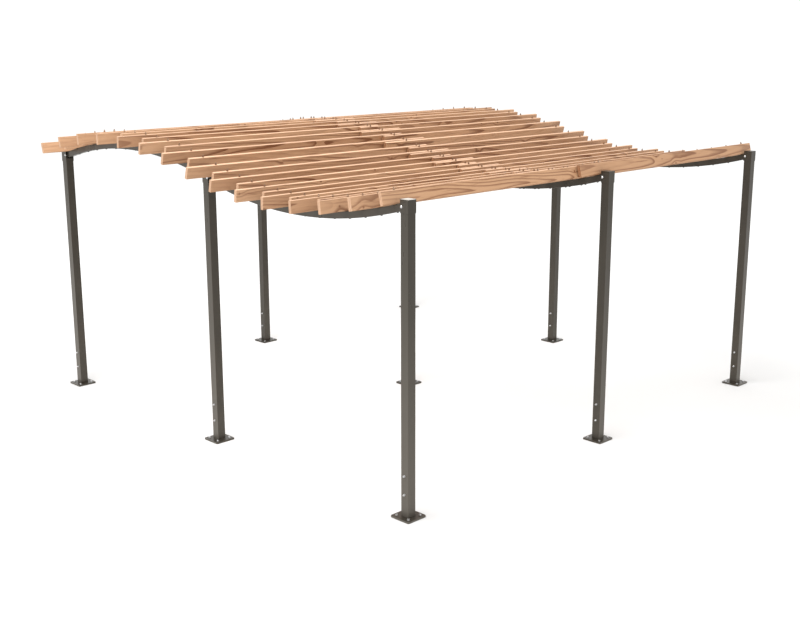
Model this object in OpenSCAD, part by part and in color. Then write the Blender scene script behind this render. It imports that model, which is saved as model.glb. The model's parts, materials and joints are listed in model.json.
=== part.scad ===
// Open pergola. Nine square steel posts on base plates carry three lines of rolled tube beams.
// Each line is one sagging bay and one arched bay, and timber rafters stand square to the curve.
// +X runs along the rafters, +Y along the beams from front to back, +Z up.
// The origin is on the ground under the centre post.

/* [Plan] */
// Distance between post axes along the rafters
rafter_span = 2500; // [2000:10:3200]
// Distance between post axes along the beams
beam_span = 2500; // [2440:5:3200]
// Height of the beam centreline at the post axes
spring_h = 2462; // [2100:1:2800]
// Rise of the arched bay and dip of the sagging bay at mid span
rise = 178; // [90:1:260]

/* [Posts] */
// Outside width of the square post tube
post_w = 80; // [76:1:100]
// Wall of the post tube
post_wall = 4; // [3:0.5:6]
// Outside corner radius of the post and spigot tubes
post_r = 3; // [2:0.5:6]
// Inside corner radius of posts, spigots and heads
tube_in_r = 1; // [0.5:0.5:1.5]

/* [Base plates] */
// Width of the square base plate
plate_w = 200; // [180:1:260]
// Thickness of the base plate
plate_t = 15; // [6:1:20]
// Corner radius of the base plate
plate_r = 12; // [4:1:20]
// Distance between anchor holes, both ways
anchor_spacing = 130; // [126:1:150]
// Diameter of an anchor hole
anchor_d = 14; // [10:1:18]

/* [Spigots] */
// Height of the spigot that stands on the base plate inside the post
spigot_h = 400; // [385:5:600]
// Wall of the spigot tube
spigot_wall = 4; // [3:0.5:6]
// Clearance between spigot and post on each side
spigot_clear = 0.5; // [0.2:0.1:0.8]
// Height of the lower foot bolt above the ground
foot_bolt_h = 195; // [120:5:220]
// Distance between the two foot bolts
foot_bolt_gap = 155; // [80:5:160]
// Diameter of the foot bolt holes
foot_bolt_hole = 13; // [9:1:17]

/* [Heads] */
// Wall of the sleeve that caps the post
head_wall = 3; // [2:0.5:6]
// Clearance between sleeve and post on each side
head_clear = 0.2; // [0.1:0.1:0.5]
// Outside corner radius of the sleeve
head_r = 2; // [1.5:0.5:3]
// Thickness of the cap plate
cap_t = 3; // [2:0.5:8]
// Room between the cap plate and the highest corner of a beam
cap_clear = 1.5; // [1:0.5:6]
// Thickness of the seat plate that rests on the post
seat_t = 4; // [3:1:8]
// Depth of the sleeve below the seat plate
skirt_h = 6; // [5:1:60]
// Room between the seat plate and the lowest corner of a beam
seat_clear = 2; // [1:0.5:6]
// Gap beside the beam in the mouth of the head
mouth_gap = 12; // [8:1:14]
// Gap between the beam's inner curve and the edge of the mouth
mouth_rim = 6; // [2:1:10]

/* [Beams] */
// Depth of the rolled tube, square to the curve
beam_depth = 60; // [50:1:64]
// Width of the rolled tube
beam_width = 50; // [40:1:52]
// Wall of the rolled tube
beam_wall = 3; // [2:0.5:4]
// Outside corner radius of the rolled tube
beam_r = 5; // [4.5:0.5:8]
// Gap between two beam ends over a middle post
beam_gap = 6; // [2:1:12]
// Distance from the post axis to the bolt that holds a beam end
bolt_inset = 30; // [20:1:32]
// Diameter of the beam bolt
bolt_d = 12; // [8:1:14]
// Clearance round the beam bolt
bolt_clear = 0.25; // [0.1:0.05:0.4]
// Diameter of the domed bolt head
bolt_head_d = 23; // [20:1:30]
// Height of the domed bolt head
bolt_head_h = 8; // [4:1:10]
// Width across the corners of the bolt's nut
nut_d = 22; // [18:1:28]
// Thickness of the bolt's nut
nut_t = 10; // [6:1:12]
// Length of thread that shows past the nut
thread_tip = 3; // [1:0.5:6]

/* [Rafters] */
// Thickness of a rafter
rafter_t = 30; // [24:1:36]
// Depth of a rafter
rafter_depth = 105; // [80:1:150]
// Radius on the long edges of a rafter
rafter_r = 3; // [1:0.5:6]
// Rows of rafters in each bay
rafter_rows = 14; // [8:2:14]
// Distance along the beam from a post axis to the middle of the nearest row
rafter_first = 97; // [92:1:160]
// Distance between the two boards of a row where they lap side by side
rafter_lap = 45; // [38:1:60]
// Long overhang past a beam
overhang_long = 300; // [200:5:500]
// Short overhang past a beam
overhang_short = 150; // [80:5:190]
// Gap between a rafter and the beam it lies on
rafter_seat = 0.3; // [0.1:0.1:0.5]
// Diameter of the hole for the bolt through each rafter and beam
fixing_hole = 11; // [7:0.5:13]

/* [Hidden] */
$fn = 48;
// Segments of a full turn of the rolled curve
curve_fn = 1440;
// How far a cutting shape reaches past the face it cuts
over = 1;

steel = "#55504a";
timber = "#c99b78";
zinc = "#c6c9cc";

// Front and sagging bay first, then back and arched bay
SAG = -1;
ARCH = 1;
ROWS = ["front", "middle", "back"];
COLUMNS = ["left", "centre", "right"];
BAYS = ["front", "back"];
SIDES = ["left", "right"];
ENDS = ["inset", "outset"];

// Rolled curve: radius from chord and rise, half the angle it turns through
half_span = beam_span / 2;
curve_r = (half_span * half_span + rise * rise) / (2 * rise);
curve_drop = sqrt(curve_r * curve_r - half_span * half_span);
half_angle = asin(half_span / curve_r);
gap_angle = asin(beam_gap / 2 / curve_r);
first_angle = rafter_first / curve_r * 180 / PI;
pitch_angle = 2 * (half_angle - first_angle) / (rafter_rows - 1);
lap_angle = rafter_lap / 2 / curve_r * 180 / PI;

post_in = post_w - 2 * post_wall;
spigot_w = post_in - 2 * spigot_clear;
head_in = post_w + 2 * head_clear;
head_w = head_in + 2 * head_wall;
mouth_w = beam_width + 2 * mouth_gap;

// The outer curve of a beam leaves its head this far below the springing on a sagging beam, and this
// far above it on an arched one: the seat lies under the first and the cap over the second
outer_r = curve_r + beam_depth / 2;
mouth_y = half_span - head_w / 2;
mouth_reach = sqrt(outer_r * outer_r - mouth_y * mouth_y) - curve_drop;
seat_top = spring_h - mouth_reach - seat_clear;
post_top = seat_top - seat_t;
head_bottom = post_top - skirt_h;
mouth_top = spring_h + mouth_reach + cap_clear;
head_top = mouth_top + cap_t;

// The inner curve of a beam crosses the head's wall this far from the springing
inner_r = curve_r - beam_depth / 2;
wall_y = half_span - head_in / 2;
wall_reach = curve_drop - sqrt(inner_r * inner_r - wall_y * wall_y) + mouth_rim;

rafter_len = rafter_span + overhang_long + overhang_short;
bolt_hole = bolt_d + 2 * bolt_clear;

// Place of a post line: 0, 1, 2 counted from the left or from the front
function line_x(c) = (c - 1) * rafter_span;
function line_y(r) = (r - 1) * beam_span;

// Which way a bay curves, and the place of its middle along the beams
function curve_of(b) = b == 0 ? SAG : ARCH;
function bay_mid(b) = (b - 0.5) * beam_span;

// Height of the beam centreline at a distance from the middle of the bay
function curve_z(b, y) = spring_h + curve_of(b) * (sqrt(curve_r * curve_r - y * y) - curve_drop);

// Bays that meet at a row of posts
function bays_at(r) = [for (b = [0, 1]) if (b == r || b == r - 1) b];

// Lower and upper edge of the mouth that a bay's beam goes through
function mouth_low(b) = curve_of(b) == SAG ? seat_top : spring_h - wall_reach;
function mouth_high(b) = curve_of(b) == SAG ? spring_h + wall_reach : mouth_top;

// Direction from a row of posts into one of its bays
function into_bay(r, b) = b == r ? 1 : -1;

// Sides of the roof whose rafters lie on a line of beams
function sides_on(c) = [for (side = [0, 1]) if (side == c || side == c - 1) side];

// Angle on the curve of one board: the left one of a row is set back and the right one forward
function row_angle(i, side) =
    (i - (rafter_rows - 1) / 2) * pitch_angle + (side == 0 ? lap_angle : -lap_angle);

module rounded_rect(w, d, r) {
    square([w, d - 2 * r], center = true);
    square([w - 2 * r, d], center = true);
    for (x = [-1, 1], y = [-1, 1])
        translate([x * (w / 2 - r), y * (d / 2 - r)]) circle(r);
}

module square_tube(w, wall, r, h) {
    linear_extrude(h) difference() {
        rounded_rect(w, w, r);
        rounded_rect(w - 2 * wall, w - 2 * wall, tube_in_r);
    }
}

// Children along X at the two foot bolts
module at_foot_bolts() {
    for (z = [foot_bolt_h, foot_bolt_h + foot_bolt_gap])
        translate([0, 0, z]) rotate([0, 90, 0]) children();
}

// Children along X at each beam bolt of a row of posts
module at_beam_bolts(r) {
    for (b = bays_at(r))
        translate([0, into_bay(r, b) * bolt_inset, curve_z(b, half_span - bolt_inset)])
            rotate([0, 90, 0]) children();
}

// Children on the rolled curve, turned so that their Z is square to it
module on_curve(b, angle) {
    s = curve_of(b);
    translate([0, bay_mid(b), spring_h - s * curve_drop])
        rotate([-s * angle, 0, 0])
            translate([0, 0, s * curve_r]) children();
}

module base_plate(r, c) {
    color(steel) translate([line_x(c), line_y(r), 0]) difference() {
        linear_extrude(plate_t) rounded_rect(plate_w, plate_w, plate_r);
        for (x = [-1, 1], y = [-1, 1])
            translate([x * anchor_spacing / 2, y * anchor_spacing / 2, -over])
                cylinder(d = anchor_d, h = plate_t + 2 * over);
    }
}

module spigots() {
    color(steel) for (r = [0:2], c = [0:2])
        translate([line_x(c), line_y(r), 0]) difference() {
            translate([0, 0, plate_t]) square_tube(spigot_w, spigot_wall, post_r, spigot_h);
            at_foot_bolts() cylinder(d = foot_bolt_hole, h = post_w, center = true);
        }
}

module post(r, c) {
    color(steel) translate([line_x(c), line_y(r), 0]) difference() {
        translate([0, 0, plate_t]) square_tube(post_w, post_wall, post_r, post_top - plate_t);
        at_foot_bolts() cylinder(d = foot_bolt_hole, h = post_w + 2 * over, center = true);
    }
}

// Outline of the plates inside a head: they reach halfway into its walls
module head_plate() {
    rounded_rect(head_in + head_wall, head_in + head_wall, head_r);
}

module head(r, c) {
    color(steel) translate([line_x(c), line_y(r), 0]) difference() {
        union() {
            translate([0, 0, head_bottom]) square_tube(head_w, head_wall, head_r, head_top - head_bottom);
            translate([0, 0, post_top]) linear_extrude(seat_t) head_plate();
            translate([0, 0, mouth_top]) linear_extrude(cap_t) head_plate();
        }
        for (b = bays_at(r))
            translate([0, into_bay(r, b) * head_w / 2, (mouth_low(b) + mouth_high(b)) / 2])
                cube([mouth_w, head_w / 2, mouth_high(b) - mouth_low(b)], center = true);
        at_beam_bolts(r) cylinder(d = bolt_hole, h = head_w + 2 * over, center = true);
    }
}

module beam_section() {
    bore_r = beam_r - beam_wall;
    difference() {
        rounded_rect(beam_depth, beam_width, beam_r);
        rounded_rect(beam_depth - 2 * beam_wall, beam_width - 2 * beam_wall, bore_r);
    }
}

module beam(c, b) {
    s = curve_of(b);
    sweep = 2 * (half_angle - gap_angle);
    color(steel) translate([line_x(c), 0, 0]) difference() {
        translate([0, bay_mid(b), spring_h - s * curve_drop])
            rotate([90, 0, 90]) rotate([0, 0, s * 90 - sweep / 2])
                rotate_extrude(angle = sweep, $fn = curve_fn) translate([curve_r, 0]) beam_section();
        for (r = [b, b + 1])
            translate([0, line_y(r), 0])
                at_beam_bolts(r) cylinder(d = bolt_hole, h = beam_width + 2 * over, center = true);
        for (side = sides_on(c), i = [0 : rafter_rows - 1])
            on_curve(b, row_angle(i, side))
                cylinder(d = fixing_hole, h = beam_depth + 2 * over, center = true);
    }
}

// Bolt along Z with a domed head at the bottom and a nut at the top
module beam_bolt() {
    dome_r = (bolt_head_d * bolt_head_d / 4 + bolt_head_h * bolt_head_h) / (2 * bolt_head_h);
    translate([0, 0, -head_w / 2]) {
        cylinder(d = bolt_d, h = head_w + nut_t + thread_tip);
        intersection() {
            translate([0, 0, dome_r - bolt_head_h]) sphere(dome_r);
            translate([0, 0, -bolt_head_h]) cylinder(d = bolt_head_d + over, h = bolt_head_h);
        }
    }
    translate([0, 0, head_w / 2]) cylinder(d = nut_d, h = nut_t, $fn = 6);
}

module beam_bolts(c) {
    color(zinc) for (r = [0:2])
        translate([line_x(c), line_y(r), 0]) at_beam_bolts(r) beam_bolt();
}

// One board along X from a given end, standing on two lines of beams and drilled over each
module rafter(side, x_start) {
    translate([0, 0, beam_depth / 2 + rafter_seat + rafter_depth / 2]) difference() {
        translate([x_start, 0, 0]) rotate([90, 0, 90])
            linear_extrude(rafter_len) rounded_rect(rafter_t, rafter_depth, rafter_r);
        for (c = [side, side + 1])
            translate([line_x(c), 0, 0])
                cylinder(d = fixing_hole, h = rafter_depth + 2 * over, center = true);
    }
}

// Every other board of one quarter of the roof: inset boards have their short end outside
module rafters(side, b, e) {
    outer = e == 0 ? overhang_short : overhang_long;
    x_start = side == 0 ? -rafter_span - outer : rafter_span + outer - rafter_len;
    color(timber) for (i = [e : 2 : rafter_rows - 1])
        on_curve(b, row_angle(i, side)) rafter(side, x_start);
}

for (r = [0:2], c = [0:2]) {
    place = str(ROWS[r], "_", COLUMNS[c]);
    base_plate(r, c);
    post(r, c);
    head(r, c);
}
spigots();
for (c = [0:2], b = [0:1])
    beam(c, b);
for (c = [0:2])
    beam_bolts(c);
for (s = [0:1], b = [0:1], e = [0:1])
    rafters(s, b, e);
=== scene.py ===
"""Looks of a wave-roofed pergola: painted steel posts and beams under lapped timber rafters.

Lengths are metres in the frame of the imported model. +X runs along the rafters from left to right, +Y along the
beams from the sagging front bay to the arched back bay, and +Z is up. The origin is on the ground under the
centre post. The steel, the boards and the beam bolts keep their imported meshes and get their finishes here. The
bolts that hold boards, posts and base plates are added as surfaces worked out from the same sizes.
"""

from __future__ import annotations

import json
import logging
import math
from dataclasses import dataclass, field, replace
from enum import Enum
from typing import Any, Mapping, Sequence, Union

import bpy
import numpy as np
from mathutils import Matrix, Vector

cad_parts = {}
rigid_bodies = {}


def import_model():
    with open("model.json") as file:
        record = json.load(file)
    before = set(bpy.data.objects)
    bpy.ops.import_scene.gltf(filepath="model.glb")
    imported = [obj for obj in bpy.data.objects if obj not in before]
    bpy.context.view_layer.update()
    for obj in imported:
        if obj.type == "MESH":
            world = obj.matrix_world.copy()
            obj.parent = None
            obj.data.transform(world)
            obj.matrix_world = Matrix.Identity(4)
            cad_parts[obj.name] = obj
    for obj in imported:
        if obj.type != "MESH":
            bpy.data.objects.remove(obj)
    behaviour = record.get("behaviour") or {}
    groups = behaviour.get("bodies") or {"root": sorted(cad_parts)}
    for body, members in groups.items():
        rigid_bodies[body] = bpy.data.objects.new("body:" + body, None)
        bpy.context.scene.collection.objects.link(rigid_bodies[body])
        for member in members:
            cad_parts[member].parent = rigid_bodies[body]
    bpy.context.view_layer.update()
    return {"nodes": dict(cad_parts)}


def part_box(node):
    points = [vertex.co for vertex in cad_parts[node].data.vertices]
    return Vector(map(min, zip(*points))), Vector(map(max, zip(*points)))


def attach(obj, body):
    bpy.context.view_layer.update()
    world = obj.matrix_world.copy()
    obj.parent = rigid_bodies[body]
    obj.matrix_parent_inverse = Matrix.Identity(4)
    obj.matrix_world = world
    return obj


LOG = logging.getLogger("pergola")

Colour = tuple[float, float, float]
Span = tuple[float, float]
Point = tuple[float, float, float]
Number = Union["Wire", float]

BODY = "root"
SHARP_EDGE = math.radians(28)


class Bay(Enum):
    """A bay of the roof, with the way its beams bend: -1 sags and +1 arches."""

    FRONT = -1
    BACK = 1


class Side(Enum):
    """A half of the roof, with the way its boards step along the beam at the lap."""

    LEFT = 1
    RIGHT = -1


class Slot(Enum):
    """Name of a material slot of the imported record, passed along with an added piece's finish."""

    STEEL = "steel"
    ZINC = "zinc"


@dataclass(frozen=True)
class Wave:
    """The roof line: in each bay the beams are rolled to one arc, and the boards stand square to it."""

    bay_span: float = 2.500
    spring_height: float = 2.462
    rise: float = 0.178
    beam_depth: float = 0.060
    board_seat: float = 0.0003
    board_depth: float = 0.105
    rows: int = 14
    first_row: float = 0.097
    board_lap: float = 0.045

    @property
    def radius(self) -> float:
        """Radius of the arc through both ends of a bay and its middle."""
        return ((self.bay_span / 2) ** 2 + self.rise**2) / (2 * self.rise)

    @property
    def drop(self) -> float:
        """Distance from the beam ends' level to the arc's centre."""
        return self.radius - self.rise

    @property
    def row_step(self) -> float:
        """Angle between two rows of boards, seen from the arc's centre."""
        half_angle = math.asin(self.bay_span / 2 / self.radius)
        return 2 * (half_angle - self.first_row / self.radius) / (self.rows - 1)

    @property
    def lap_angle(self) -> float:
        """Angle by which a board stands off its row's line, so that two boards pass at the lap."""
        return self.board_lap / 2 / self.radius

    @property
    def board_top(self) -> float:
        """Height of the boards' top edge over the beam's centre line, along the normal."""
        return self.beam_depth / 2 + self.board_seat + self.board_depth

    def centre(self, bay: Bay) -> tuple[float, float]:
        """Y and Z of the centre that a bay's beams are rolled about."""
        return bay.value * self.bay_span / 2, self.spring_height - bay.value * self.drop

    def row_angles(self, side: Side) -> np.ndarray:
        """Angles of all rows of one side's boards, front to back."""
        return (np.arange(self.rows) - (self.rows - 1) / 2) * self.row_step + side.value * self.lap_angle

    def seats(self, bay: Bay, angles: np.ndarray, along: float, height: float) -> "Seats":
        """Places on the roof line with axes along the board, along the beam and up along the normal.

        A point at an angle lies on the arc's radius through it: the centre, plus the normal times the radius
        with the bay's bend as its sign, plus the normal times the height.

        Args:
            bay: The bay that the places are in.
            angles: One angle for each place.
            along: X of all places.
            height: Distance from the beam's centre line along the normal.

        Returns:
            One seat for each angle.
        """
        mid_y, mid_z = self.centre(bay)
        zero, one = np.zeros_like(angles), np.ones_like(angles)
        normal = np.stack([zero, bay.value * np.sin(angles), np.cos(angles)], axis=1)
        beam = np.stack([zero, np.cos(angles), -bay.value * np.sin(angles)], axis=1)
        board = np.stack([one, zero, zero], axis=1)
        origin = np.array([along, mid_y, mid_z]) + normal * (bay.value * self.radius + height)
        return Seats(origin, np.stack([board, beam, normal], axis=1))


@dataclass(frozen=True)
class Seats:
    """Places for copies of one fastener: origins, and for each the three directions of its own axes."""

    origins: np.ndarray
    axes: np.ndarray

    @staticmethod
    def facing(origins: np.ndarray, direction: Sequence[float]) -> "Seats":
        """Seats whose own Z points one way.

        Args:
            origins: Places, one row each.
            direction: A unit vector along one of the frame's axes.

        Returns:
            The seats, with right-handed axes.
        """
        up = np.asarray(direction, float)
        across = np.roll(up, 1)
        axes = np.stack([across, np.cross(up, across), up])
        return Seats(origins, np.broadcast_to(axes, (len(origins), 3, 3)))

    def flipped(self) -> "Seats":
        """The same places, looking the other way along their own Z."""
        return Seats(self.origins, self.axes * np.array([1.0, -1.0, -1.0])[None, :, None])


@dataclass(frozen=True)
class Skin:
    """One or more closed surfaces: points, four-sided faces, and the flat faces that close their ends."""

    points: np.ndarray
    quads: np.ndarray
    ends: np.ndarray

    @staticmethod
    def turned(profile: np.ndarray, sides: int = 12) -> "Skin":
        """A turned or six-sided form, as a grid of rings along Z and angles round it.

        Each ring has a radius, a height and a share of six-sidedness. The radius to a corner grows by that share
        of the way from a circle to the hexagon round it, one over the cosine of the angle from the flat's middle.

        Args:
            profile: Rows of radius, height and six-sidedness, from the bottom end to the top end.
            sides: Points round each ring, a multiple of twelve where a ring is six-sided.

        Returns:
            The surface, with a flat face on each end.
        """
        turn = np.arange(sides) * (2 * math.pi / sides)
        from_flat = (turn + math.pi / 6) % (math.pi / 3) - math.pi / 6
        radius, height, six = (column[:, None] for column in profile.T)
        reach = radius * (1 + six * (1 / np.cos(from_flat) - 1))
        grid = np.stack([reach * np.cos(turn), reach * np.sin(turn), height + 0 * turn], axis=2)
        index = np.arange(len(profile) * sides).reshape(len(profile), sides)
        ahead = np.roll(index, -1, axis=1)
        quads = np.stack([index[:-1], ahead[:-1], ahead[1:], index[1:]], axis=2)
        ends = np.stack([index[0, ::-1], index[-1]])
        return Skin(grid.reshape(-1, 3), quads.reshape(-1, 4), ends)

    @staticmethod
    def joined(skins: Sequence["Skin"]) -> "Skin":
        """Put several surfaces of the same count of sides together.

        Args:
            skins: The surfaces, each with its faces numbered from its own first point.

        Returns:
            One surface with all their faces.
        """
        counts = [len(skin.points) for skin in skins]
        starts = np.cumsum([0, *counts[:-1]])
        return Skin(
            np.concatenate([skin.points for skin in skins]),
            np.concatenate([skin.quads + start for skin, start in zip(skins, starts)]),
            np.concatenate([skin.ends + start for skin, start in zip(skins, starts)]),
        )

    def at(self, seats: Seats) -> "Skin":
        """A copy of the surface on every seat.

        Args:
            seats: Where the copies go; a point is the origin plus its coordinates along the seat's axes.

        Returns:
            All copies as one surface.
        """
        placed = seats.origins[:, None, :] + np.einsum("pk,skj->spj", self.points, seats.axes)
        shift = (np.arange(len(seats.origins)) * len(self.points))[:, None, None]
        return Skin(
            placed.reshape(-1, 3),
            (self.quads[None] + shift).reshape(-1, 4),
            (self.ends[None] + shift).reshape(-1, self.ends.shape[1]),
        )

    def piece(self, name: str, finish: bpy.types.Material, slot: Slot) -> None:
        """Make the surface a piece of the pergola, which rides on its one body.

        Args:
            name: The piece's name.
            finish: Its material.
            slot: The record's slot that the finish belongs to; not used.
        """
        mesh = bpy.data.meshes.new(name)
        mesh.from_pydata(self.points.tolist(), [], self.quads.tolist() + self.ends.tolist())
        mesh.polygons.foreach_set("use_smooth", np.ones(len(mesh.polygons), bool))
        mesh.set_sharp_from_angle(angle=SHARP_EDGE)
        mesh.materials.append(finish)
        made = bpy.data.objects.new(name, mesh)
        bpy.context.scene.collection.objects.link(made)
        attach(made, BODY)
        LOG.info("piece %s: %d faces", name, len(mesh.polygons))


class Wire:
    """A value in a finish's node tree. Arithmetic on it adds Math nodes."""

    def __init__(self, bench: "Bench", socket: bpy.types.NodeSocket) -> None:
        """Keep an output socket and the bench that its node stands on."""
        self.bench = bench
        self.socket = socket

    def __add__(self, other: Number) -> "Wire":
        """Sum."""
        return self.bench.math("ADD", self, other)

    def __radd__(self, other: Number) -> "Wire":
        """Sum, with the number first."""
        return self.bench.math("ADD", other, self)

    def __sub__(self, other: Number) -> "Wire":
        """Difference."""
        return self.bench.math("SUBTRACT", self, other)

    def __rsub__(self, other: Number) -> "Wire":
        """Difference, with the number first."""
        return self.bench.math("SUBTRACT", other, self)

    def __mul__(self, other: Number) -> "Wire":
        """Product."""
        return self.bench.math("MULTIPLY", self, other)

    def __rmul__(self, other: Number) -> "Wire":
        """Product, with the number first."""
        return self.bench.math("MULTIPLY", other, self)

    def __truediv__(self, other: Number) -> "Wire":
        """Quotient."""
        return self.bench.math("DIVIDE", self, other)

    def __gt__(self, other: Number) -> "Wire":
        """One where the value is greater, and otherwise nothing."""
        return self.bench.math("GREATER_THAN", self, other)

    def root(self) -> "Wire":
        """Square root."""
        return self.bench.math("SQRT", self)

    def whole(self) -> "Wire":
        """The nearest whole number."""
        return self.bench.math("ROUND", self)

    def floor(self) -> "Wire":
        """The whole number below."""
        return self.bench.math("FLOOR", self)

    def part(self) -> "Wire":
        """What is left over the whole number below."""
        return self.bench.math("FRACT", self)

    def turn(self, other: "Wire") -> "Wire":
        """Angle whose sine goes as this value and whose cosine as the other."""
        return self.bench.math("ARCTAN2", self, other)

    def rising(self, low: float, high: float) -> "Wire":
        """Smooth step.

        Args:
            low: Value at which it starts.
            high: Value at which it ends.

        Returns:
            Nothing at low and below, one at high and above, smooth between.
        """
        made = self.bench.node(
            "ShaderNodeMapRange",
            {"interpolation_type": "SMOOTHSTEP"},
            {"Value": self, "From Min": low, "From Max": high},
        )
        return Wire(self.bench, made.outputs["Result"])


class Bench:
    """A new material and the nodes that make its finish."""

    def __init__(self, name: str) -> None:
        """Start an empty node tree under a finish's name."""
        self.material = bpy.data.materials.new(name)
        self.material.use_nodes = True
        self.tree = self.material.node_tree
        self.tree.nodes.clear()

    def node(
        self,
        kind: str,
        settings: Mapping[str, Any] | None = None,
        sockets: Mapping[Any, Any] | None = None,
    ) -> bpy.types.Node:
        """Add a node, set it up, then fill its sockets.

        Args:
            kind: Blender's type name of the node.
            settings: Properties of the node, which are set first.
            sockets: Values or wires for its inputs, by name or number.

        Returns:
            The node.
        """
        made = self.tree.nodes.new(kind)
        for key, value in (settings or {}).items():
            setattr(made, key, value)
        for key, value in (sockets or {}).items():
            if isinstance(value, Wire):
                self.tree.links.new(value.socket, made.inputs[key])
            else:
                made.inputs[key].default_value = value
        return made

    def math(self, operation: str, *terms: Number) -> Wire:
        """A Math node on wires and numbers."""
        made = self.node("ShaderNodeMath", {"operation": operation}, dict(enumerate(terms)))
        return Wire(self, made.outputs[0])

    def _split(self, coordinates: str) -> tuple[Wire, Wire, Wire]:
        """Read one of the surface's coordinates.

        Args:
            coordinates: Its name on the Texture Coordinate node.

        Returns:
            Its X, Y and Z.
        """
        read = self.node("ShaderNodeTexCoord").outputs[coordinates]
        made = self.node("ShaderNodeSeparateXYZ", None, {0: Wire(self, read)})
        return tuple(Wire(self, made.outputs[axis]) for axis in "XYZ")

    def place(self) -> tuple[Wire, Wire, Wire]:
        """X, Y and Z of the point on the piece, in the pergola's frame."""
        return self._split("Object")

    def facing(self) -> tuple[Wire, Wire, Wire]:
        """X, Y and Z of the surface's direction, in the pergola's frame."""
        return self._split("Normal")

    def vector(self, x: Number, y: Number, z: Number) -> Wire:
        """Three values as one vector."""
        return Wire(self, self.node("ShaderNodeCombineXYZ", None, {0: x, 1: y, 2: z}).outputs[0])

    def cloud(self, spot: Wire, scale: float = 1.0, detail: float = 2.0, roughness: float = 0.5) -> Wire:
        """Smooth noise about one half.

        Args:
            spot: The vector that it is read at.
            scale: Features for each unit of the vector.
            detail: Octaves of finer noise.
            roughness: Strength of each finer octave.

        Returns:
            Values from nothing to one.
        """
        made = self.node(
            "ShaderNodeTexNoise",
            {"noise_dimensions": "3D"},
            {"Vector": spot, "Scale": scale, "Detail": detail, "Roughness": roughness},
        )
        return Wire(self, made.outputs[0])

    def chances(self, seed: Wire) -> tuple[Wire, Wire, Wire]:
        """Fixed draws that look random.

        Args:
            seed: The value that settles the draws.

        Returns:
            Three draws from nothing to one.
        """
        drawn = self.node("ShaderNodeTexWhiteNoise", {"noise_dimensions": "1D"}, {"W": seed})
        made = self.node("ShaderNodeSeparateColor", None, {0: Wire(self, drawn.outputs["Color"])})
        return tuple(Wire(self, made.outputs[number]) for number in range(3))

    def blend(self, share: Number, first: Wire | Colour, second: Wire | Colour) -> Wire:
        """Mix two colours.

        Args:
            share: How much of the second colour shows.
            first: Colour where the share is nothing.
            second: Colour where the share is one.

        Returns:
            The mixed colour.
        """
        ends = [value if isinstance(value, Wire) else (*value, 1.0) for value in (first, second)]
        made = self.node("ShaderNodeMix", {"data_type": "RGBA"}, {0: share, 6: ends[0], 7: ends[1]})
        return Wire(self, made.outputs[2])

    def bumped(self, height: Wire, depth: float) -> Wire:
        """Normal of a surface with fine relief of that depth in metres."""
        made = self.node("ShaderNodeBump", None, {"Height": height, "Distance": depth, "Strength": 1.0})
        return Wire(self, made.outputs[0])

    def finished(self, sockets: Mapping[str, Any]) -> bpy.types.Material:
        """Feed the surface shader and close the tree.

        Args:
            sockets: Values or wires of the shader's inputs by name.

        Returns:
            The finished material.
        """
        shader = self.node("ShaderNodeBsdfPrincipled", None, sockets)
        self.node("ShaderNodeOutputMaterial", None, {"Surface": Wire(self, shader.outputs[0])})
        return self.material


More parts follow.
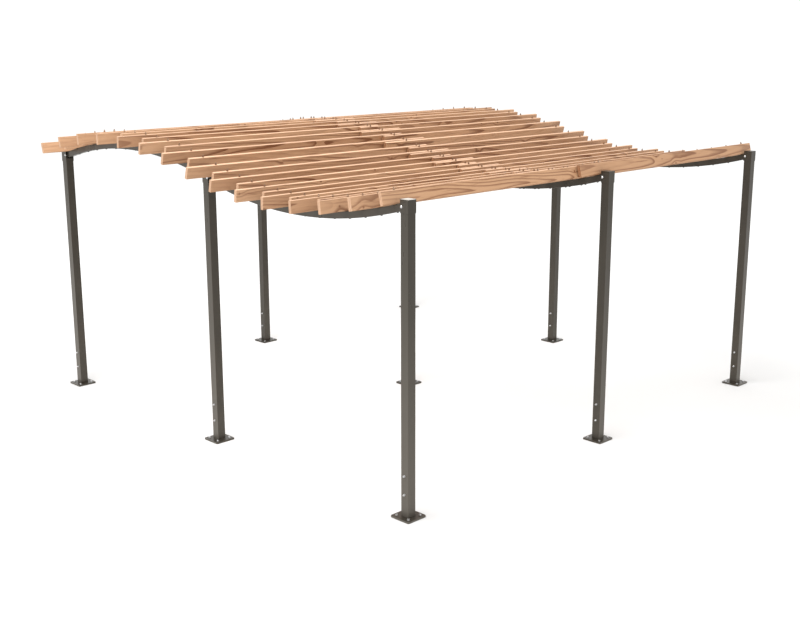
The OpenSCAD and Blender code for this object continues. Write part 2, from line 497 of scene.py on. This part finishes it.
@dataclass(frozen=True)
class SatinPaint:
    """Baked-on satin paint over steel: fine orange peel, faint clouding, and a paler tone that thins out upwards.

    The paler tone is partly dust and partly painted light bounced off the floor, and it is weaker on level faces.
    Faces that look outwards get painted light, most near the ground, with painted shade from the roof above them.
    Above the highlight level the front left side gets a pale painted highlight, as on the cap of the front left
    head.
    """

    name: str = "satin_paint"
    # Height above which the front left side shows a painted highlight
    highlight_level: float = 9.0
    light: Colour = (0.0245, 0.0205, 0.0156)
    dark: Colour = (0.0170, 0.0139, 0.0103)
    # Painted light: the paler colour of faces that look outwards
    outward_light: Colour = (0.094, 0.0840, 0.0710)
    # Paler tone: partly dust, partly painted light bounced off the floor
    dust_and_bounce: Colour = (0.12, 0.106, 0.088)
    # Painted highlight on the cap of the front left head
    cap_highlight: Colour = (0.50, 0.49, 0.46)
    gleam: Colour = (1.0, 0.925, 0.80)
    gloss_index: float = 1.50
    roughness: float = 0.27
    cloud_roughness: float = 0.08
    dust_roughness: float = 0.06
    peel_scale: float = 650.0
    peel_depth: float = 0.000015
    cloud_scale: float = 7.0
    cloud_stretch: float = 0.35
    cloud_cut: Span = (0.3, 0.7)
    splash_scale: float = 38.0
    splash_cut: Span = (0.35, 0.8)
    # Paler towards the ground: partly dust, partly painted light bounced off the floor; weaker on level faces
    dust_and_bounce_heights: Span = (-0.6, 2.2)
    dust_and_bounce_least: float = 0.55
    dust_and_bounce_share: float = 0.34
    off_level_share: float = 0.75
    # Painted light on outward faces, with painted shade from the roof over their upper parts
    outward_light_reach: Span = (0.4, 2.5)
    outward_light_share: float = 0.9
    front_weight: float = 0.7
    roof_shade_height: float = 2.5
    side_roof_shade: float = 0.70
    # Reach and strength of the painted highlight on the front left head's cap
    highlight_reach: Span = (3.2, 4.6)
    highlight_least: float = 0.75

    def material(self) -> bpy.types.Material:
        """Mix the paint.

        Returns:
            The paint as a material.
        """
        bench = Bench(self.name)
        x, y, z = bench.place()
        spot = bench.vector(x, y, z)
        peel = bench.cloud(spot, self.peel_scale, 1.0)
        drawn_out = bench.vector(x, y, z * self.cloud_stretch)
        cloud = bench.cloud(drawn_out, self.cloud_scale, 3.0).rising(*self.cloud_cut)
        splash = bench.cloud(spot, self.splash_scale, 4.0, 0.65).rising(*self.splash_cut)
        across, ahead, up = bench.facing()
        # Paler towards the ground and weaker on level faces: partly dust, partly painted light bounced off the
        # floor
        off_level = 1 - self.off_level_share * up * up
        speckled = self.dust_and_bounce_least + (1 - self.dust_and_bounce_least) * splash
        dust_and_bounce = (1 - z.rising(*self.dust_and_bounce_heights)) * speckled * off_level
        # Painted light on faces that look outwards, most near the ground, and painted shade from the roof above
        # them
        outward = (across * x + ahead * y * self.front_weight).rising(*self.outward_light_reach)
        roof_shade = self.side_roof_shade + (1 - self.side_roof_shade) * ahead * ahead
        outward_light = outward * (1 - roof_shade * z.rising(0.0, self.roof_shade_height))
        tone = bench.blend(outward_light * self.outward_light_share, bench.blend(cloud, self.dark, self.light), self.outward_light)
        # Painted highlight: a pale colour on the cap of the front left head
        highlight_side = (-1.0 * (x + y)).rising(*self.highlight_reach)
        painted_highlight = (z > self.highlight_level) * highlight_side * (self.highlight_least + (1 - self.highlight_least) * cloud)
        dusty_and_bounce_lit = bench.blend(dust_and_bounce * self.dust_and_bounce_share, tone, self.dust_and_bounce)
        return bench.finished(
            {
                "Base Color": bench.blend(painted_highlight, dusty_and_bounce_lit, self.cap_highlight),
                "Roughness": self.roughness + self.cloud_roughness * cloud + self.dust_roughness * dust_and_bounce,
                "Normal": bench.bumped(peel, self.peel_depth),
                "IOR": self.gloss_index,
                "Specular Tint": (*self.gleam, 1.0),
            }
        )


@dataclass(frozen=True)
class Plating:
    """Plated fasteners: metal, dulled in patches."""

    name: str = "bright_zinc"
    bright: Colour = (0.74, 0.74, 0.74)
    dull: Colour = (0.46, 0.46, 0.47)
    patch_scale: float = 240.0
    patch_cut: Span = (0.35, 0.7)
    grit_scale: float = 1600.0
    grit_depth: float = 0.00005
    roughness: float = 0.24
    dull_roughness: float = 0.20

    def material(self) -> bpy.types.Material:
        """Lay the plating.

        Returns:
            The plating as a material.
        """
        bench = Bench(self.name)
        spot = bench.vector(*bench.place())
        patch = bench.cloud(spot, self.patch_scale, 3.0).rising(*self.patch_cut)
        grit = bench.cloud(spot, self.grit_scale, 1.0)
        return bench.finished(
            {
                "Base Color": bench.blend(patch, self.bright, self.dull),
                "Metallic": 1.0,
                "Roughness": self.roughness + self.dull_roughness * patch,
                "Normal": bench.bumped(grit, self.grit_depth),
            }
        )


@dataclass(frozen=True)
class OiledTimber:
    """Oiled softwood boards, each sawn from its own place in a log.

    The finish finds which board a point is on from its angle about the bay's arc centre. Growth rings are circles
    about a pith line that lies beside the board and wanders along it, on a log that tapers, so the broad faces
    show arched figure, the edges stripes and the ends arcs.
    """

    wave: Wave
    bay: Bay
    side: Side
    pale: Colour = (0.545, 0.322, 0.184)
    tan: Colour = (0.400, 0.212, 0.111)
    ring: Colour = (0.155, 0.052, 0.018)
    # Painted light: the paler tone of the lit top edges and board ends
    lit_wood: Colour = (0.65, 0.425, 0.285)
    gleam: Colour = (1.0, 0.80, 0.62)
    gloss_index: float = 1.45
    roughness: float = 0.50
    fibre_roughness: float = 0.16
    ring_gloss: float = 0.08
    grain_depth: float = 0.00035
    fibre_relief: float = 0.6
    ring_relief: float = 0.4
    lot: int = 300
    second_draw: float = 40.5
    year_draw: int = 57
    log_shift: float = 23
    wander_scale: float = 0.8
    swing_scale: float = 0.6
    ripple_scale: Span = (2.2, 22)
    streak_scale: Span = (3.2, 55)
    fibre_scale: Span = (11, 560)
    tan_least: float = 0.10
    tan_spread: float = 0.75
    tan_streak: float = 0.6
    tan_wander: float = 0.5
    tan_cut: Span = (-0.1, 1.0)
    ring_gap: float = 0.024
    taper: float = 0.042
    pith_level: float = 0.052
    pith_spread: float = 0.10
    pith_wander: float = 0.16
    pith_nearest: float = 0.030
    pith_range: float = 0.055
    pith_swing: float = 0.05
    ring_ripple: float = 0.012
    knot_swell: float = 0.016
    late_wood: Span = (0.42, 0.86)
    late_end: Span = (0.93, 1.0)
    strong_years: Span = (0.35, 0.62)
    weak_ring: float = 0.24
    ring_share: float = 0.62
    ring_spread: float = 0.36
    streak_cut: Span = (0.55, 0.72)
    streak_share: float = 0.55
    fibre_cut: float = 0.35
    fibre_share: float = 0.32
    knot_spread: float = 3.4
    knot_shift: float = 2.7
    knot_rarity: float = 0.72
    knot_core: Span = (0.018, 0.050)
    knot_reach: float = 0.36
    knot_share: float = 0.85
    # Band of painted light along the boards' top edges
    edge: float = 0.004
    edge_fade: float = 0.4
    sunlit_share: float = 0.62
    sunlit_ring: float = 0.30
    # Painted light on the board ends towards the roof's open sides and on the outer end faces
    open_reach: Span = (4.2, 7.4)
    open_share: float = 0.15
    end_cut: Span = (0.5, 0.8)
    outer_reach: Span = (0.3, 1.0)
    outer_end_share: float = 0.5
    # End faces at the lap darker: partly end grain, partly painted shade between the lapped boards
    inner_end_share: float = 0.62

    def material(self) -> bpy.types.Material:
        """Saw and oil the boards of one bay and side.

        Returns:
            Their finish as a material.
        """
        bench = Bench(f"oiled_timber_{self.side.name}_{self.bay.name}".lower())
        along, depth, thick, board = self._board_place(bench)
        first, second, third = bench.chances(board)
        fourth, fifth, sixth = bench.chances(board + self.second_draw)
        length = along + self.log_shift * first
        inside = (length, depth, thick)
        knot, swirl = self._knots(bench, length, depth, board)
        wander = bench.cloud(bench.vector(length, board, 0.0), self.wander_scale, 1.0)
        swing = bench.cloud(bench.vector(length, board, 9.0), self.swing_scale, 1.0)
        ripple = self._grain(bench, inside, self.ripple_scale, 2.0)

        # Distance from the pith, with the log's taper, in steps of one ring
        pith_level = self.wave.board_top - self.pith_level
        pith_depth = pith_level + self.pith_spread * (second - 0.5) + self.pith_wander * (wander - 0.5)
        pith_away = self.pith_nearest + self.pith_range * fourth
        pith_thick = (1 - 2 * (third > 0.5)) * pith_away + self.pith_swing * (swing - 0.5)
        rise, run = depth - pith_depth, thick - pith_thick
        wave = self.ring_ripple * (ripple - 0.5)
        grown = (rise * rise + run * run).root() + self.taper * length + wave + self.knot_swell * swirl
        rings = grown / self.ring_gap
        late = rings.part().rising(*self.late_wood) * (1 - rings.part().rising(*self.late_end))
        year = bench.chances(rings.floor() + self.year_draw * board)[0]
        line = late * (self.weak_ring + (1 - self.weak_ring) * year.rising(*self.strong_years))

        # Board tone, then rings, streaks, fibres and knots over it
        streak = self._grain(bench, inside, self.streak_scale, 4.0, 0.6)
        fibre = self._grain(bench, inside, self.fibre_scale, 2.0)
        uneven = self.tan_streak * (streak - 0.5)
        tone = self.tan_least + self.tan_spread * fifth + uneven + self.tan_wander * (wander - 0.5)
        colour = bench.blend(tone.rising(*self.tan_cut), self.pale, self.tan)
        colour = bench.blend(line * (self.ring_share + self.ring_spread * sixth), colour, self.ring)
        colour = bench.blend(streak.rising(*self.streak_cut) * self.streak_share, colour, self.ring)
        colour = bench.blend((fibre - self.fibre_cut) * self.fibre_share, colour, self.ring)
        colour = bench.blend(knot * self.knot_share, colour, self.ring)

        # Painted light on the top edges, on the board ends out towards the roof's open sides and on the outer end
        # faces; the end faces at the lap darker, partly end grain and partly painted shade between the lapped
        # boards
        top = self.wave.board_top
        sunlit = depth.rising(top - self.edge, top - self.edge_fade * self.edge)
        colour = bench.blend(sunlit * (self.sunlit_share - self.sunlit_ring * line), colour, self.lit_wood)
        end = bench.facing()[0]
        sawn = (end * end).rising(*self.end_cut)
        outer = (along * along).rising(*self.outer_reach)
        # Painted light on the board ends out towards the roof's open sides and on the outer end faces
        open_end = (along * along).rising(*self.open_reach)
        colour = bench.blend(open_end * self.open_share, colour, self.lit_wood)
        colour = bench.blend(sawn * outer * self.outer_end_share, colour, self.lit_wood)
        # End faces at the lap darker: partly end grain, partly painted shade between the lapped boards
        colour = bench.blend(sawn * (1 - outer) * self.inner_end_share, colour, self.ring)
        return bench.finished(
            {
                "Base Color": colour,
                "Roughness": self.roughness + self.fibre_roughness * fibre - self.ring_gloss * line,
                "Normal": bench.bumped(fibre * self.fibre_relief + line * self.ring_relief, self.grain_depth),
                "IOR": self.gloss_index,
                "Specular Tint": (*self.gleam, 1.0),
            }
        )

    @staticmethod
    def _grain(
        bench: Bench, spot: tuple[Wire, Wire, Wire], scale: Span, detail: float, roughness: float = 0.5
    ) -> Wire:
        """Noise that is drawn out along the board.

        Args:
            bench: The bench that the finish is made on.
            spot: Distance along the board, height in it and distance from its middle.
            scale: Features for each metre along the board, and across it.
            detail: Octaves of finer noise.
            roughness: Strength of each finer octave.

        Returns:
            Values from nothing to one.
        """
        length, depth, thick = spot
        along, across = scale
        return bench.cloud(bench.vector(length * along, depth * across, thick * across), 1.0, detail, roughness)

    def _knots(self, bench: Bench, length: Wire, depth: Wire, board: Wire) -> tuple[Wire, Wire]:
        """Knots scattered over the boards' broad faces, a few to a board.

        Args:
            bench: The bench that the finish is made on.
            length: Distance along the board.
            depth: Height in the board.
            board: The board's number.

        Returns:
            Where a knot is, and how much the rings swell round it.
        """
        height = depth * self.knot_spread + board * self.knot_shift
        spot = bench.vector(length * self.knot_spread, height, 0.0)
        cells = bench.node(
            "ShaderNodeTexVoronoi", {"voronoi_dimensions": "2D", "feature": "F1"}, {"Vector": spot, "Scale": 1.0}
        )
        away, tint = Wire(bench, cells.outputs["Distance"]), Wire(bench, cells.outputs["Color"])
        drawn = bench.node("ShaderNodeSeparateColor", None, {0: tint})
        there = Wire(bench, drawn.outputs[0]) > self.knot_rarity
        return there * (1 - away.rising(*self.knot_core)), there * (1 - away.rising(0.0, self.knot_reach))

    def _board_place(self, bench: Bench) -> tuple[Wire, Wire, Wire, Wire]:
        """Where a point is in its own board.

        Args:
            bench: The bench that the finish is made on.

        Returns:
            Distance along the board, height over the beam's centre line, distance from the board's middle along
            the beam, and the board's number in the whole roof.
        """
        x, y, z = bench.place()
        mid_y, mid_z = self.wave.centre(self.bay)
        across, away = y - mid_y, (z - mid_z) * float(self.bay.value)
        reach = (across * across + away * away).root()
        step, lap = self.wave.row_step, self.side.value * self.wave.lap_angle
        middle = (self.wave.rows - 1) / 2
        turn = across.turn(away)
        row = ((turn - lap) / step + middle).whole()
        depth = (reach - self.wave.radius) * float(self.bay.value)
        thick = (turn - lap - (row - middle) * step) * reach
        first = self.lot + self.wave.rows * ((self.bay is Bay.BACK) + 2 * (self.side is Side.RIGHT))
        return x, depth, thick, row + float(first)


@dataclass(frozen=True)
class StudioFloor:
    """Pale matt paper, toned down where the soft box lights it most: round the pergola's front and left."""

    pale: Colour = (0.90, 0.90, 0.895)
    toned: Colour = (0.60, 0.60, 0.595)
    shaded_ring: Span = (1.5, 4.2)
    shaded_share: float = 0.50
    lit_ring: Span = (5.5, 14.0)
    behind_reach: Span = (-1.5, 4.0)
    behind_share: float = 0.50
    mottle_scale: float = 1.4
    mottle_share: float = 0.04
    roughness: float = 0.9

    def material(self) -> bpy.types.Material:
        """Tone the paper.

        Returns:
            The paper as a material.
        """
        bench = Bench("studio_floor")
        x, y, z = bench.place()
        mottle = bench.cloud(bench.vector(x, y, z), self.mottle_scale, 3.0)
        away = (x * x + y * y).root()
        shaded = self.shaded_share * (1 - away.rising(*self.shaded_ring))
        behind = self.behind_share * (x + y).rising(*self.behind_reach)
        paleness = shaded + behind + away.rising(*self.lit_ring) - self.mottle_share * mottle
        colour = bench.blend(paleness, self.toned, self.pale)
        return bench.finished({"Base Color": colour, "Roughness": self.roughness})


@dataclass(frozen=True)
class HexFastener:
    """A hexagon bolt with nut and washers, by its thread."""

    thread: float
    flats: float
    nut: float
    head: float
    washer: float
    washer_thick: float = 0.002
    tip: float = 0.005
    rim_break: float = 0.3
    corner_break: float = 0.94
    break_height: float = 0.12
    thread_rings: int = 6
    thread_depth: float = 0.09
    tip_taper: float = 0.72
    tip_start: float = 0.9

    def _washer(self) -> Skin:
        """Flat round washer with its upper rim broken, standing on Z = 0."""
        rim, thick = self.washer / 2, self.washer_thick
        broken = self.rim_break * thick
        return Skin.turned(np.array([[rim, 0, 0], [rim, thick - broken, 0], [rim - broken, thick, 0]]))

    def _hexagon(self, height: float) -> Skin:
        """Six-sided body with its corners chamfered at both ends, standing on the washer.

        Args:
            height: From the washer to the top.

        Returns:
            The surface: four rings, the outer two round and a little smaller, the inner two six-sided.
        """
        low, high, half = self.washer_thick, self.washer_thick + height, self.flats / 2
        chamfer, neck = self.break_height * height, self.corner_break * half
        rings = [[neck, low, 0], [half, low + chamfer, 1], [half, high - chamfer, 1], [neck, high, 0]]
        return Skin.turned(np.array(rings))

    def _thread_tip(self) -> Skin:
        """Threaded end standing out of the nut.

        Returns:
            The surface: rings that swing between crest and root, then a chamfer.
        """
        low, half = self.washer_thick + self.tip_start * self.nut, self.thread / 2
        steps = np.linspace(0, 1, self.thread_rings)
        swing = half * (1 - self.thread_depth * (np.arange(self.thread_rings) % 2))
        rings = np.stack([swing, low + self.tip * steps, 0 * steps], axis=1)
        end = [[self.tip_taper * half, low + self.tip + self.break_height * half, 0]]
        return Skin.turned(np.concatenate([rings, end]))

    def nut_end(self) -> Skin:
        """Washer, nut and thread tip, standing on Z = 0."""
        return Skin.joined([self._washer(), self._hexagon(self.nut), self._thread_tip()])

    def head_end(self) -> Skin:
        """Washer and bolt head, standing on Z = 0."""
        return Skin.joined([self._washer(), self._hexagon(self.head)])


@dataclass
class PostGrid:
    """The nine posts: three rows front to back by three columns left to right."""

    span: float = 2.500
    rows: tuple[str, ...] = ("front", "middle", "back")
    columns: tuple[str, ...] = ("left", "centre", "right")

    def spots(self, row: int) -> np.ndarray:
        """Ground points under the posts of one row, left to right."""
        x = self.span * (np.arange(len(self.columns)) - 1.0)
        return np.stack([x, np.full_like(x, self.span * (row - 1)), np.zeros_like(x)], axis=1)


@dataclass
class SteelFrame:
    """Base plates, spigots, posts, heads, beams and beam bolts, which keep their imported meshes."""

    nodes: Mapping[str, bpy.types.Object]
    paint: SatinPaint = field(default_factory=SatinPaint)
    plating: Plating = field(default_factory=Plating)
    painted: tuple[str, ...] = ("base_plate_", "spigots", "post_", "beam_")
    capped: str = "head_"
    plated: str = "beam_bolts_"
    cap_skin: float = 0.0006

    def dress(self) -> tuple[bpy.types.Material, bpy.types.Material]:
        """Paint the steel, give the heads the paint with a painted highlight on the front left cap, and plate the
        beam bolts.

        Returns:
            The paint and the plating, for the bolts that are added.
        """
        paint, plating = self.paint.material(), self.plating.material()
        head_top = max(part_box(name)[1][2] for name in self.nodes if name.startswith(self.capped))
        # The heads' paint, with a painted highlight on the front left cap
        capped = replace(self.paint, name="satin_paint_highlight_cap", highlight_level=head_top - self.cap_skin).material()
        for name, node in self.nodes.items():
            if name.startswith(self.plated):
                dress_node(node, plating)
            elif name.startswith(self.capped):
                dress_node(node, capped)
            elif name.startswith(self.painted):
                dress_node(node, paint)
        return paint, plating


@dataclass
class TimberRoof:
    """The rafters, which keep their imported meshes."""

    nodes: Mapping[str, bpy.types.Object]
    wave: Wave

    def dress(self) -> None:
        """Give each bay and side of the roof its own timber."""
        for bay in Bay:
            for side in Side:
                timber = OiledTimber(self.wave, bay, side).material()
                start = f"rafters_{side.name}_{bay.name}_".lower()
                for name, node in self.nodes.items():
                    if name.startswith(start):
                        dress_node(node, timber)


@dataclass
class RafterBolts:
    """Bolts up through the beams and the boards: painted head under the beam, nut on the board's top edge."""

    wave: Wave
    grid: PostGrid
    paint: bpy.types.Material
    plating: Plating = Plating("brown_zinc", (0.42, 0.28, 0.19), (0.19, 0.12, 0.078))
    fastener: HexFastener = HexFastener(
        thread=0.010, flats=0.015, nut=0.011, head=0.0042, washer=0.018, washer_thick=0.0012, tip=0.011
    )

    def build(self) -> None:
        """Make the nuts of each line of beams and bay one piece, and the heads another."""
        plating = self.plating.material()
        for column, name in enumerate(self.grid.columns):
            along = self.grid.span * (column - 1)
            sides = [side for side in Side if side.value * along <= 0]
            for bay in Bay:
                angles = np.concatenate([self.wave.row_angles(side) for side in sides])
                tops = self.wave.seats(bay, angles, along, self.wave.board_top)
                unders = self.wave.seats(bay, angles, along, -self.wave.beam_depth / 2).flipped()
                place = f"{name}_{bay.name}".lower()
                self.fastener.nut_end().at(tops).piece(f"rafter_nuts_{place}", plating, Slot.ZINC)
                self.fastener.head_end().at(unders).piece(f"rafter_bolt_heads_{place}", self.paint, Slot.STEEL)


@dataclass
class FootBolts:
    """Two cross bolts through each post's foot and the spigot inside it."""

    grid: PostGrid
    plating: bpy.types.Material
    post_half: float = 0.040
    heights: tuple[float, ...] = (0.195, 0.350)
    fastener: HexFastener = HexFastener(thread=0.010, flats=0.016, nut=0.009, head=0.0065, washer=0.019, tip=0.008)

    def build(self) -> None:
        """Make one piece for each row of posts."""
        for row, name in enumerate(self.grid.rows):
            feet = self.grid.spots(row)
            spots = np.concatenate([feet + [0, 0, height] for height in self.heights])
            nuts = Seats.facing(spots - [self.post_half, 0, 0], (-1, 0, 0))
            heads = Seats.facing(spots + [self.post_half, 0, 0], (1, 0, 0))
            bolts = Skin.joined([self.fastener.head_end().at(heads), self.fastener.nut_end().at(nuts)])
            bolts.piece(f"foot_bolts_{name}", self.plating, Slot.ZINC)


@dataclass
class GroundAnchors:
    """Four bolts with washers at the corners of each base plate."""

    grid: PostGrid
    plating: bpy.types.Material
    plate_thick: float = 0.015
    spacing: float = 0.130
    fastener: HexFastener = HexFastener(thread=0.012, flats=0.018, nut=0.010, head=0.008, washer=0.023)

    def build(self) -> None:
        """Make one piece for each row of posts."""
        half = self.spacing / 2
        holes = np.array([[x, y, self.plate_thick] for x in (-half, half) for y in (-half, half)])
        for row, name in enumerate(self.grid.rows):
            spots = (self.grid.spots(row)[:, None, :] + holes).reshape(-1, 3)
            anchors = self.fastener.head_end().at(Seats.facing(spots, (0, 0, 1)))
            anchors.piece(f"ground_anchors_{name}", self.plating, Slot.ZINC)


@dataclass(frozen=True)
class Lamp:
    """A flat round lamp that looks at one point."""

    name: str
    power: float
    width: float
    at: Point
    aim: Point

    def hang(self) -> None:
        """Put the lamp in the studio."""
        light = bpy.data.lights.new(self.name, "AREA")
        light.shape = "DISK"
        light.size = self.width
        light.energy = self.power
        box = bpy.data.objects.new(self.name, light)
        box.location = self.at
        box.rotation_euler = (Vector(self.aim) - Vector(self.at)).to_track_quat("-Z", "Y").to_euler()
        bpy.context.scene.collection.objects.link(box)


@dataclass
class Studio:
    """Floor, soft light and the camera at the photograph's angle."""

    image: tuple[int, int] = (800, 636)
    camera_at: Point = (-8.4018, -8.4230, 3.6983)
    camera_down: float = 13.115
    camera_heading: float = -45.034
    focal_pixels: float = 1144.63
    axis_pixel: Span = (410.85, 299.70)
    sensor: float = 36.0
    sight: float = 300.0
    floor_radius: float = 90.0
    floor_level: float = -0.0005
    floor_spokes: int = 96
    floor_rings: int = 12
    air: float = 1.15
    soft_box: Lamp = Lamp("soft_box", 1800.0, 9.0, (-5.0, -1.2, 13.0), (0.0, 0.0, 1.5))

    def build(self) -> None:
        """Set up everything round the pergola."""
        self._floor()
        self._light()
        self._camera()

    def _floor(self) -> None:
        """Lay a round floor: rings of growing radius, each point at its radius along its angle."""
        turn = np.linspace(0, 2 * math.pi, self.floor_spokes + 1)[:-1]
        radius = np.linspace(0, 1, self.floor_rings + 1)[1:, None] ** 2 * self.floor_radius
        level = np.full(self.floor_rings * self.floor_spokes, self.floor_level)
        points = np.stack([(radius * np.cos(turn)).ravel(), (radius * np.sin(turn)).ravel(), level], axis=1)
        index = np.arange(len(points)).reshape(self.floor_rings, self.floor_spokes)
        ahead = np.roll(index, -1, axis=1)
        quads = np.stack([index[:-1], index[1:], ahead[1:], ahead[:-1]], axis=2).reshape(-1, 4)
        mesh = bpy.data.meshes.new("studio_floor")
        mesh.from_pydata(points.tolist(), [], quads.tolist() + [index[0].tolist()])
        mesh.materials.append(StudioFloor().material())
        floor = bpy.data.objects.new("studio_floor", mesh)
        bpy.context.scene.collection.objects.link(floor)

    def _light(self) -> None:
        """Fill the air with even white light and hang one soft box high up at the left."""
        world = bpy.data.worlds.new("studio_air")
        world.use_nodes = True
        air = world.node_tree.nodes["Background"]
        air.inputs["Color"].default_value = (1.0, 1.0, 1.0, 1.0)
        air.inputs["Strength"].default_value = self.air
        bpy.context.scene.world = world
        self.soft_box.hang()

    def _camera(self) -> None:
        """Stand the camera where the photograph's stood, with the same lens and framing."""
        width, height = self.image
        optics = bpy.data.cameras.new("photo_view")
        optics.sensor_width = self.sensor
        optics.lens = self.focal_pixels * self.sensor / width
        optics.shift_x = (width / 2 - self.axis_pixel[0]) / width
        optics.shift_y = (self.axis_pixel[1] - height / 2) / width
        optics.clip_end = self.sight
        camera = bpy.data.objects.new("photo_view", optics)
        camera.location = self.camera_at
        camera.rotation_euler = (math.radians(90 - self.camera_down), 0.0, math.radians(self.camera_heading))
        bpy.context.scene.collection.objects.link(camera)
        bpy.context.scene.camera = camera
        bpy.context.scene.view_settings.view_transform = "Standard"


def dress_node(node: bpy.types.Object, finish: bpy.types.Material) -> None:
    """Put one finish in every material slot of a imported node.

    Args:
        node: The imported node's object.
        finish: The material it wears.
    """
    if not node.material_slots:
        node.data.materials.append(finish)
    for slot in node.material_slots:
        slot.material = finish
    LOG.info("node %s wears %s", node.name, finish.name)


def main() -> None:
    """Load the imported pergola, dress it, add its bolts and set up the studio."""
    logging.basicConfig(level=logging.INFO, format="%(name)s: %(message)s")
    for left_over in list(bpy.data.objects):
        bpy.data.objects.remove(left_over)
    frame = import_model()
    wave, grid = Wave(), PostGrid()
    paint, plating = SteelFrame(frame["nodes"]).dress()
    TimberRoof(frame["nodes"], wave).dress()
    RafterBolts(wave, grid, paint).build()
    FootBolts(grid, plating).build()
    GroundAnchors(grid, plating).build()
    Studio().build()


if __name__ == "__main__":
    main()
